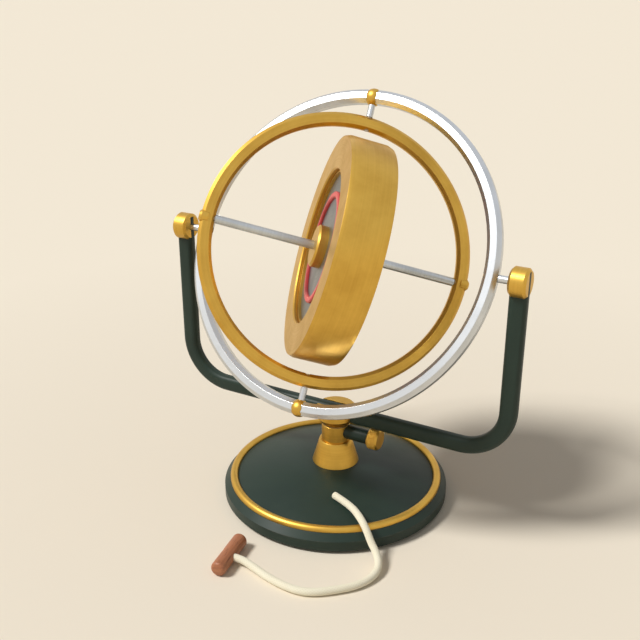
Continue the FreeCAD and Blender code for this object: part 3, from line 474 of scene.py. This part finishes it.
# Each metal: its colours, its lowest and highest roughness, and the tool's lines per metre.
BRASS = {
    "clean": rgb(0.70, 0.43, 0.083),
    "tarnished": rgb(0.56, 0.325, 0.056),
    "gloss": (0.35, 0.46),
    "marks": 2600.0,
}
NICKEL = {
    "clean": rgb(0.66, 0.68, 0.70),
    "tarnished": rgb(0.55, 0.57, 0.59),
    "gloss": (0.27, 0.38),
    "marks": 3000.0,
}
STEEL = {
    "clean": rgb(0.58, 0.605, 0.62),
    "tarnished": rgb(0.46, 0.485, 0.50),
    "gloss": (0.30, 0.42),
    "marks": 2600.0,
}
IRON = {
    "clean": rgb(0.27, 0.285, 0.30),
    "tarnished": rgb(0.20, 0.21, 0.22),
    "gloss": (0.38, 0.50),
    "marks": 2600.0,
}
BRONZE = {
    "clean": rgb(0.40, 0.27, 0.13),
    "tarnished": rgb(0.30, 0.20, 0.09),
    "gloss": (0.48, 0.60),
    "marks": 2600.0,
}
GREEN_ENAMEL = {
    "deep": rgb(0.017, 0.033, 0.025),
    "lifted": rgb(0.022, 0.040, 0.030),
    "worn_to": rgb(0.11, 0.105, 0.09),
    "gloss": (0.42, 0.52),
}
RED_ENAMEL = {
    "deep": rgb(0.62, 0.055, 0.062),
    "lifted": rgb(0.72, 0.085, 0.085),
    "worn_to": rgb(0.35, 0.20, 0.16),
    "gloss": (0.30, 0.42),
}
HARDWOOD = {
    "pale": rgb(0.49, 0.19, 0.085),
    "dark": rgb(0.38, 0.135, 0.058),
    "pore": rgb(0.17, 0.055, 0.027),
}
# The darker cotton colour is painted shade in the braid's hollows and also the colour of soil.
COTTON = {"pale": rgb(0.94, 0.89, 0.70), "painted_shade_and_soil": rgb(0.82, 0.75, 0.55)}
BAIZE = {"pale": rgb(0.035, 0.085, 0.05), "deep": rgb(0.015, 0.04, 0.024)}

# Each turned finish, its metal, the lathe it was turned on and the pieces that have it.
TURNED = [
    (
        "brass of the column",
        BRASS,
        "column",
        ["base_trim_ring", "column_flare", "column_sleeve", "yoke_hub"],
    ),
    ("brass of the trunnions", BRASS, "yoke_pivots", ["left_trunnion_boss", "right_trunnion_boss"]),
    ("brass of the clamp knob", BRASS, "clamp", ["lock_knob"]),
    (
        "brass of the gimbal bosses",
        BRASS,
        "gimbal_pins",
        ["outer_ring_top_boss", "outer_ring_bottom_boss"],
    ),
    ("brass of the inner ring", BRASS, "inner_ring", ["inner_ring"]),
    (
        "brass of the flywheel",
        BRASS,
        "flywheel",
        ["rotor_rim", "rotor_left_hub", "rotor_right_hub", "left_axle_boss", "right_axle_boss"],
    ),
    ("bronze of the thrust washer", BRONZE, "column", ["yoke_thrust_washer"]),
    (
        "bronze of the outer bushes",
        BRONZE,
        "yoke_pivots",
        ["outer_ring_left_bush", "outer_ring_right_bush"],
    ),
    (
        "bronze of the inner bushes",
        BRONZE,
        "gimbal_pins",
        ["inner_ring_top_bush", "inner_ring_bottom_bush"],
    ),
    ("bronze of the bearings", BRONZE, "flywheel", ["left_axle_bearing", "right_axle_bearing"]),
    ("nickel of the outer ring", NICKEL, "outer_ring", ["outer_ring"]),
    ("nickel of the yoke pivots", NICKEL, "yoke_pivots", ["left_yoke_pivot", "right_yoke_pivot"]),
    ("nickel of the gimbal pins", NICKEL, "gimbal_pins", ["top_gimbal_pin", "bottom_gimbal_pin"]),
    ("steel of the column", STEEL, "column", ["column_washer", "column_nut", "yoke_stem"]),
    ("steel of the clamp screw", STEEL, "clamp", ["lock_screw"]),
    ("steel of the axle", STEEL, "flywheel", ["rotor_axle"]),
    ("grey iron of the web", IRON, "flywheel", ["rotor_web"]),
]

REAL_EDGE = math.radians(35)  # faces that meet at more than this keep their edge
SAME_CORNER = 0.002 * MM


def paint(names, material):
    """Gives CAD nodes their finish, and smooth shading that stops at real edges."""
    for name in names:
        node = nodes[name]
        node.data.materials.clear()
        node.data.materials.append(material)
        smooth_node(node)


def smooth_node(node):
    flags = [True] * len(node.data.polygons)
    node.data.polygons.foreach_set("use_smooth", flags)
    weld = node.modifiers.new("joined corners", "WELD")
    weld.merge_threshold = SAME_CORNER
    split = node.modifiers.new("sharp edges", "EDGE_SPLIT")
    split.split_angle = REAL_EDGE


def dress_solids():
    for name, metal, lathe, names in TURNED:
        paint(names, turned_metal(name, lathe, **metal))
    paint(["base_casting", "yoke_frame", "lock_boss"], enamel("green enamel", **GREEN_ENAMEL))
    paint(["rotor_left_red_band", "rotor_right_red_band"], enamel("red enamel", **RED_ENAMEL))
    paint(["pull_handle"], varnished_wood("hardwood", "toggle", **HARDWOOD))


# ------------------------------------------------------------------ modelling helpers


def deselect():
    if bpy.context.mode != "OBJECT":
        bpy.ops.object.mode_set(mode="OBJECT")
    bpy.ops.object.select_all(action="DESELECT")


def settle(piece, name, material, body, smooth=40.0):
    """Applies a piece's place to its mesh, names it and lets it ride."""
    deselect()
    bpy.context.view_layer.objects.active = piece
    piece.select_set(True)
    bpy.ops.object.transform_apply(location=True, rotation=True, scale=True)
    piece.name = name
    piece.data.name = name
    piece.data.materials.clear()
    piece.data.materials.append(material)
    bpy.ops.object.shade_smooth_by_angle(angle=math.radians(smooth))
    piece.select_set(False)
    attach(piece, body)


# ------------------------------------------------------------------ the pull cord

CORD_RADIUS = 2.3 * MM
# From the free end on the dome, over the edge of the base and across the table.
CORD_ROUTE = [
    (19.4, -38.6, 21.9),
    (33.2, -41.6, 20.2),
    (44.9, -50.7, 20.2),
    (51.6, -55.6, 16.6),
    (55.9, -58.3, 11.2),
    (61.8, -61.8, 7.0),
    (66.2, -68.0, 4.3),
    (66.9, -76.4, 2.6),
    (62.4, -87.8, 2.4),
    (52.6, -98.0, 2.4),
    (42.4, -106.3, 2.4),
    (31.7, -109.3, 2.4),
    (15.2, -107.7, 2.6),
    (1.2, -104.3, 3.6),
    (-8.2, -102.67, 4.65),
    (-17.094, -104.078, 4.65),
]
SPLINE_STEPS = 40  # points read from the spline between two of the route's
PATH_STEP = 1.0 * MM  # length between the points of the cord's path that make_cord returns
BRAID_AROUND = 48  # sides of the cord's mesh
BRAID_STRANDS = 8  # strands that cross the cord each way round
BRAID_PITCH = 15 * MM  # length in which a strand goes once round
BRAID_RELIEF = 0.16 * MM  # height of a strand over the hollow beside it
BRAID_STEP = 0.35 * MM  # length of one row of the cord's mesh
BRAID_CREST = 0.7  # under 1, a strand's crest is broad and its hollow narrow
END_ROUNDING = 1.1 * MM  # stretch over which the free end is drawn in
END_WIDTH = 0.38  # width of the cap that is left there, as a share of the cord's
END_CROWN = 0.6  # braid height given to the middle of an end, which lifts the painted shade there


def cord_centreline():
    """The points of the route's smooth spline, close together."""
    line = bpy.data.curves.new("pull_cord_line", "CURVE")
    line.dimensions = "3D"
    spline = line.splines.new("NURBS")
    spline.points.add(len(CORD_ROUTE) - 1)
    for point, place in zip(spline.points, CORD_ROUTE):
        point.co = (*(Vector(place) * MM), 1.0)
    spline.order_u = 3
    spline.use_endpoint_u = True
    spline.resolution_u = SPLINE_STEPS
    holder = bpy.data.objects.new("pull_cord_line", line)
    bpy.context.scene.collection.objects.link(holder)
    bpy.context.view_layer.update()
    drawn = bpy.data.meshes.new_from_object(holder)
    points = [vertex.co.copy() for vertex in drawn.vertices]
    bpy.data.objects.remove(holder)
    bpy.data.meshes.remove(drawn)
    return points


ROUNDING_ERROR = 1e-12


def evenly(points, step):
    """Points at equal steps of about that length along a line, and the line's length."""
    total = sum((b - a).length for a, b in zip(points, points[1:]))
    count = max(2, round(total / step))
    step = total / count
    out = [points[0].copy()]
    travelled = 0.0
    for a, b in zip(points, points[1:]):
        length = (b - a).length
        while len(out) < count and travelled + length >= step * len(out) - ROUNDING_ERROR:
            share = (step * len(out) - travelled) / max(length, ROUNDING_ERROR)
            out.append(a.lerp(b, share))
        travelled += length
    out.append(points[-1].copy())
    return out, total


def carried_frames(points):
    """Two directions square to the line at each point, carried along without twist."""
    frames = []
    across = None
    for index in range(len(points)):
        before = points[max(index - 1, 0)]
        after = points[min(index + 1, len(points) - 1)]
        along = (after - before).normalized()
        if across is None:
            across = along.cross(UP).normalized()
        across = (across - along * across.dot(along)).normalized()
        frames.append((across, along.cross(across)))
    return frames


def braid_height(turn, distance):
    """How high the braid stands, from 0 to 1, at a turn round the cord and a distance."""
    spiral = math.tau * distance / BRAID_PITCH
    one = math.cos(BRAID_STRANDS * (turn + spiral) / 2)
    other = math.cos(BRAID_STRANDS * (turn - spiral) / 2)
    return max(one * one, other * other) ** BRAID_CREST


def end_taper(distance):
    """Draws the first stretch of the cord in to a rounded end."""
    if distance >= END_ROUNDING:
        return 1.0
    gone = 1 - distance / END_ROUNDING
    return math.sqrt(max(1 - gone * gone, 0.0)) * (1 - END_WIDTH) + END_WIDTH


def sweep_braid(points):
    """A closed braided tube along the points, with its first end drawn in."""
    rows, total = evenly(points, BRAID_STEP)
    vertices = []
    crowns = []
    for index, (point, (across, over)) in enumerate(zip(rows, carried_frames(rows))):
        distance = index * total / (len(rows) - 1)
        for side in range(BRAID_AROUND):
            turn = math.tau * side / BRAID_AROUND
            crown = braid_height(turn, distance)
            radius = (CORD_RADIUS - BRAID_RELIEF * (1 - crown)) * end_taper(distance)
            vertices.append(point + (across * math.cos(turn) + over * math.sin(turn)) * radius)
            crowns.append(crown)
    faces = []
    for row in range(len(rows) - 1):
        for side in range(BRAID_AROUND):
            after = (side + 1) % BRAID_AROUND
            low = row * BRAID_AROUND
            high = low + BRAID_AROUND
            faces.append((low + side, low + after, high + after, high + side))
    for row in (0, len(rows) - 1):
        vertices.append(rows[row].copy())
        crowns.append(END_CROWN)
        centre = len(vertices) - 1
        base = row * BRAID_AROUND
        for side in range(BRAID_AROUND):
            pair = [base + (side + 1) % BRAID_AROUND, base + side]
            faces.append((centre, *(pair if row == 0 else reversed(pair))))
    mesh = bpy.data.meshes.new("pull_cord_braid")
    mesh.from_pydata(vertices, [], faces)
    crown_layer = mesh.attributes.new("crown", "FLOAT", "POINT")
    crown_layer.data.foreach_set("value", crowns)
    wrap_uv(mesh, len(rows), total)
    return mesh, total


def wrap_uv(mesh, rows, total):
    """U once round the cord, V in cord widths along it."""
    layer = mesh.uv_layers.new(name="round the cord")
    widths = total / (2 * CORD_RADIUS)
    for face in mesh.polygons:
        sides = [vertex % BRAID_AROUND for vertex in face.vertices]
        closes = 0 in sides and BRAID_AROUND - 1 in sides
        for loop in face.loop_indices:
            row, side = divmod(mesh.loops[loop].vertex_index, BRAID_AROUND)
            if closes and side == 0:
                side = BRAID_AROUND
            layer.data[loop].uv = (side / BRAID_AROUND, widths * min(row, rows) / rows)


def make_cord(material):
    """The braided cord, the path that it follows and its length."""
    line = cord_centreline()
    mesh, total = sweep_braid(line)
    mesh.materials.append(material)
    mesh.polygons.foreach_set("use_smooth", [True] * len(mesh.polygons))
    cord = bpy.data.objects.new("pull_cord_braided", mesh)
    bpy.context.scene.collection.objects.link(cord)
    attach(cord, "pull_cord_toggle")
    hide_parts("pull_cord")
    path, _ = evenly(line, PATH_STEP)
    return cord, path, total


STOPPER_RADIUS = 2.35 * MM
STOPPER_LENGTH = 3.0 * MM
STOPPER_WIDEST = 2.95 * MM  # keeps the whipping inside the toggle's pocket
STOPPER_CORE = 0.1 * MM  # nearer to the axis, nothing is moulded
WHIPPING_REACH = 0.55  # share of the stopper's length that is bound
WHIPPING_TURNS = 4  # turns that the whole length would take
WHIPPING_HEIGHT = 0.30 * MM
STRAND_COUNT = 8
STRAND_TWIST = 3.0  # radians in half the stopper's length
STRAND_HEIGHT = 0.22 * MM
CUT_END = 0.9  # share of the half length past which the strands are cut unevenly
CUT_TUFTS = 5
CUT_DEPTH = 0.12 * MM


def make_stopper(material):
    """The cord's end beyond the cord hole: a bound tuft in the toggle's pocket."""
    low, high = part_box("pull_cord_knot")
    deselect()
    bpy.ops.mesh.primitive_cylinder_add(
        vertices=48,
        radius=STOPPER_RADIUS,
        depth=STOPPER_LENGTH,
        location=(low + high) / 2,
        rotation=HOLE_AXIS.to_track_quat("Z", "Y").to_euler(),
    )
    stopper = bpy.context.object
    bpy.ops.object.mode_set(mode="EDIT")
    bpy.ops.mesh.select_all(action="SELECT")
    bpy.ops.mesh.subdivide(number_cuts=4)
    bpy.ops.object.mode_set(mode="OBJECT")
    mould_stopper(stopper.data)
    settle(stopper, "cord_end_bound", material, "pull_cord_toggle")
    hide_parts("pull_cord_knot")
    return stopper


def mould_stopper(mesh):
    """Whipping round the middle, strands at both ends, and an uneven cut at the far one."""
    for vertex in mesh.vertices:
        x, y, z = vertex.co
        radius = math.hypot(x, y)
        turn = math.atan2(y, x)
        outward = radius / STOPPER_RADIUS
        along = z / (STOPPER_LENGTH / 2)
        wound = WHIPPING_TURNS * along / 2 + turn / math.tau
        whipping = WHIPPING_HEIGHT * abs(math.sin(math.pi * wound))
        twisted = STRAND_COUNT * turn / 2 + STRAND_TWIST * along
        strands = STRAND_HEIGHT * abs(math.sin(twisted))
        bound = whipping if abs(along) < WHIPPING_REACH else strands
        if radius > STOPPER_CORE:
            wanted = min(radius + bound * outward, STOPPER_WIDEST)
            vertex.co.x *= wanted / radius
            vertex.co.y *= wanted / radius
        if along < -CUT_END:
            vertex.co.z -= CUT_DEPTH * math.cos(CUT_TUFTS * turn) * outward


# ------------------------------------------------------------------ the felt under the base

FELT_MARGIN = 0.15 * MM  # how far the felt is cut inside its solid
FELT_EDGE = 0.25 * MM
FELT_UNEVEN = 0.05 * MM
FELT_WAVES = ((1.0, 37, 0.0), (0.6, 91, 1.3))  # share, waves round the pad and phase


def make_felt(material):
    """The felt pad, with soft edges and a slightly uneven cut."""
    low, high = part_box("base_felt_pad")
    radius = (high.x - low.x) / 2
    thickness = high.z - low.z
    deselect()
    bpy.ops.mesh.primitive_cylinder_add(
        vertices=240,
        radius=radius - FELT_MARGIN,
        depth=thickness,
        location=(0, 0, thickness / 2),
    )
    pad = bpy.context.object
    bpy.ops.object.mode_set(mode="EDIT")
    bpy.ops.mesh.select_all(action="SELECT")
    bpy.ops.mesh.bevel(offset=FELT_EDGE, segments=3, affect="EDGES")
    bpy.ops.object.mode_set(mode="OBJECT")
    for vertex in pad.data.vertices:
        turn = math.atan2(vertex.co.y, vertex.co.x)
        waves = sum(share * math.sin(count * turn + phase) for share, count, phase in FELT_WAVES)
        if math.hypot(vertex.co.x, vertex.co.y) > radius / 2:
            vertex.co.x += FELT_UNEVEN * waves * math.cos(turn)
            vertex.co.y += FELT_UNEVEN * waves * math.sin(turn)
    settle(pad, "felt_pad_cut", material, "stand", smooth=50.0)
    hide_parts("base_felt_pad")


# ------------------------------------------------------------------ the studio

FLOOR_WIDTH = 60.0
FLOOR_DROP = 0.02 * MM  # how far the floor lies under the felt
# The floor is painted darker near the stand: painted shade, fading to the far colour.
FLOOR_NEAR_SHADED = rgb(0.865, 0.785, 0.655)
FLOOR_FAR = rgb(0.945, 0.865, 0.725)
FLOOR_PASSES = (0.12, 0.55)  # distances from the base over which the painted shade near the stand passes into the paler far floor
BACKDROP = rgb(0.888, 0.807, 0.665)
CEILING = rgb(0.78, 0.79, 0.81)
CEILING_STARTS = (0.12, 0.55)  # slopes between which the mirrored backdrop turns to ceiling
AMBIENT = rgb(0.265, 0.262, 0.26)
SUN_STRENGTH = 2.75
SUN_SPREAD = math.radians(15)
SUN_COLOUR = (1.0, 0.985, 0.96)
SUN_AIM = Vector((0.472, 0.416, -0.777))
CAMERA_PLACE = Vector((247.9, -460.9, 335.4)) * MM
CAMERA_TARGET = Vector((-12.1, 0.0, 121.2)) * MM
CAMERA_LENS = 50.0
CAMERA_SENSOR = 36.0


def make_floor():
    deselect()
    bpy.ops.mesh.primitive_plane_add(size=FLOOR_WIDTH, location=(0, 0, -FLOOR_DROP))
    floor = bpy.context.object
    floor.name = "floor"
    material, web, shader, place = start_material("pale table")
    # Painted shade: darker near the stand, paler further off.
    distance = web.vector("LENGTH", place.outputs["Object"])
    share = web.remap(distance, *FLOOR_PASSES)
    web.feed(shader.inputs["Base Color"], web.blend(share, FLOOR_NEAR_SHADED, FLOOR_FAR))
    plain(shader, Roughness=0.9, Specular_IOR_Level=0.1)
    floor.data.materials.append(material)


def make_world():
    """A cream backdrop, reflected in the metals under a ceiling, and a grey fill light."""
    world = bpy.data.worlds.new("studio")
    bpy.context.scene.world = world
    world.use_nodes = True
    web = Web(world.node_tree)
    background = next(node for node in web.tree.nodes if node.type == "BACKGROUND")
    rays = web.add("ShaderNodeLightPath")
    direction = web.add("ShaderNodeTexCoord").outputs["Generated"]
    height = web.add("ShaderNodeSeparateXYZ", {"Vector": direction}).outputs["Z"]
    sky = web.blend(web.remap(height, *CEILING_STARTS), BACKDROP, CEILING)
    mirrored = web.blend(rays.outputs["Is Glossy Ray"], AMBIENT, sky)
    seen = web.blend(rays.outputs["Is Camera Ray"], mirrored, BACKDROP)
    web.feed(background.inputs["Color"], seen)
    background.inputs["Strength"].default_value = 1.0


def make_light():
    """One soft sun from the front left, which throws the shadow away to the right."""
    sun = bpy.data.lights.new("key", "SUN")
    sun.energy = SUN_STRENGTH
    sun.angle = SUN_SPREAD
    sun.color = SUN_COLOUR
    lamp = bpy.data.objects.new("key", sun)
    bpy.context.scene.collection.objects.link(lamp)
    lamp.rotation_euler = SUN_AIM.to_track_quat("-Z", "Y").to_euler()


def make_camera():
    data = bpy.data.cameras.new("camera")
    data.lens = CAMERA_LENS
    data.sensor_width = CAMERA_SENSOR
    camera = bpy.data.objects.new("camera", data)
    bpy.context.scene.collection.objects.link(camera)
    camera.location = CAMERA_PLACE
    camera.rotation_euler = (CAMERA_TARGET - CAMERA_PLACE).to_track_quat("-Z", "Y").to_euler()
    bpy.context.scene.camera = camera


# ------------------------------------------------------------------ putting it together

make_camera()
cotton_material = cotton("cotton braid", **COTTON)
cord, cord_path, cord_length = make_cord(cotton_material)
stopper = make_stopper(cotton_material)
dress_solids()
make_felt(baize("baize", **BAIZE))
make_floor()
make_world()
make_light()
bpy.context.scene.view_settings.view_transform = "Standard"
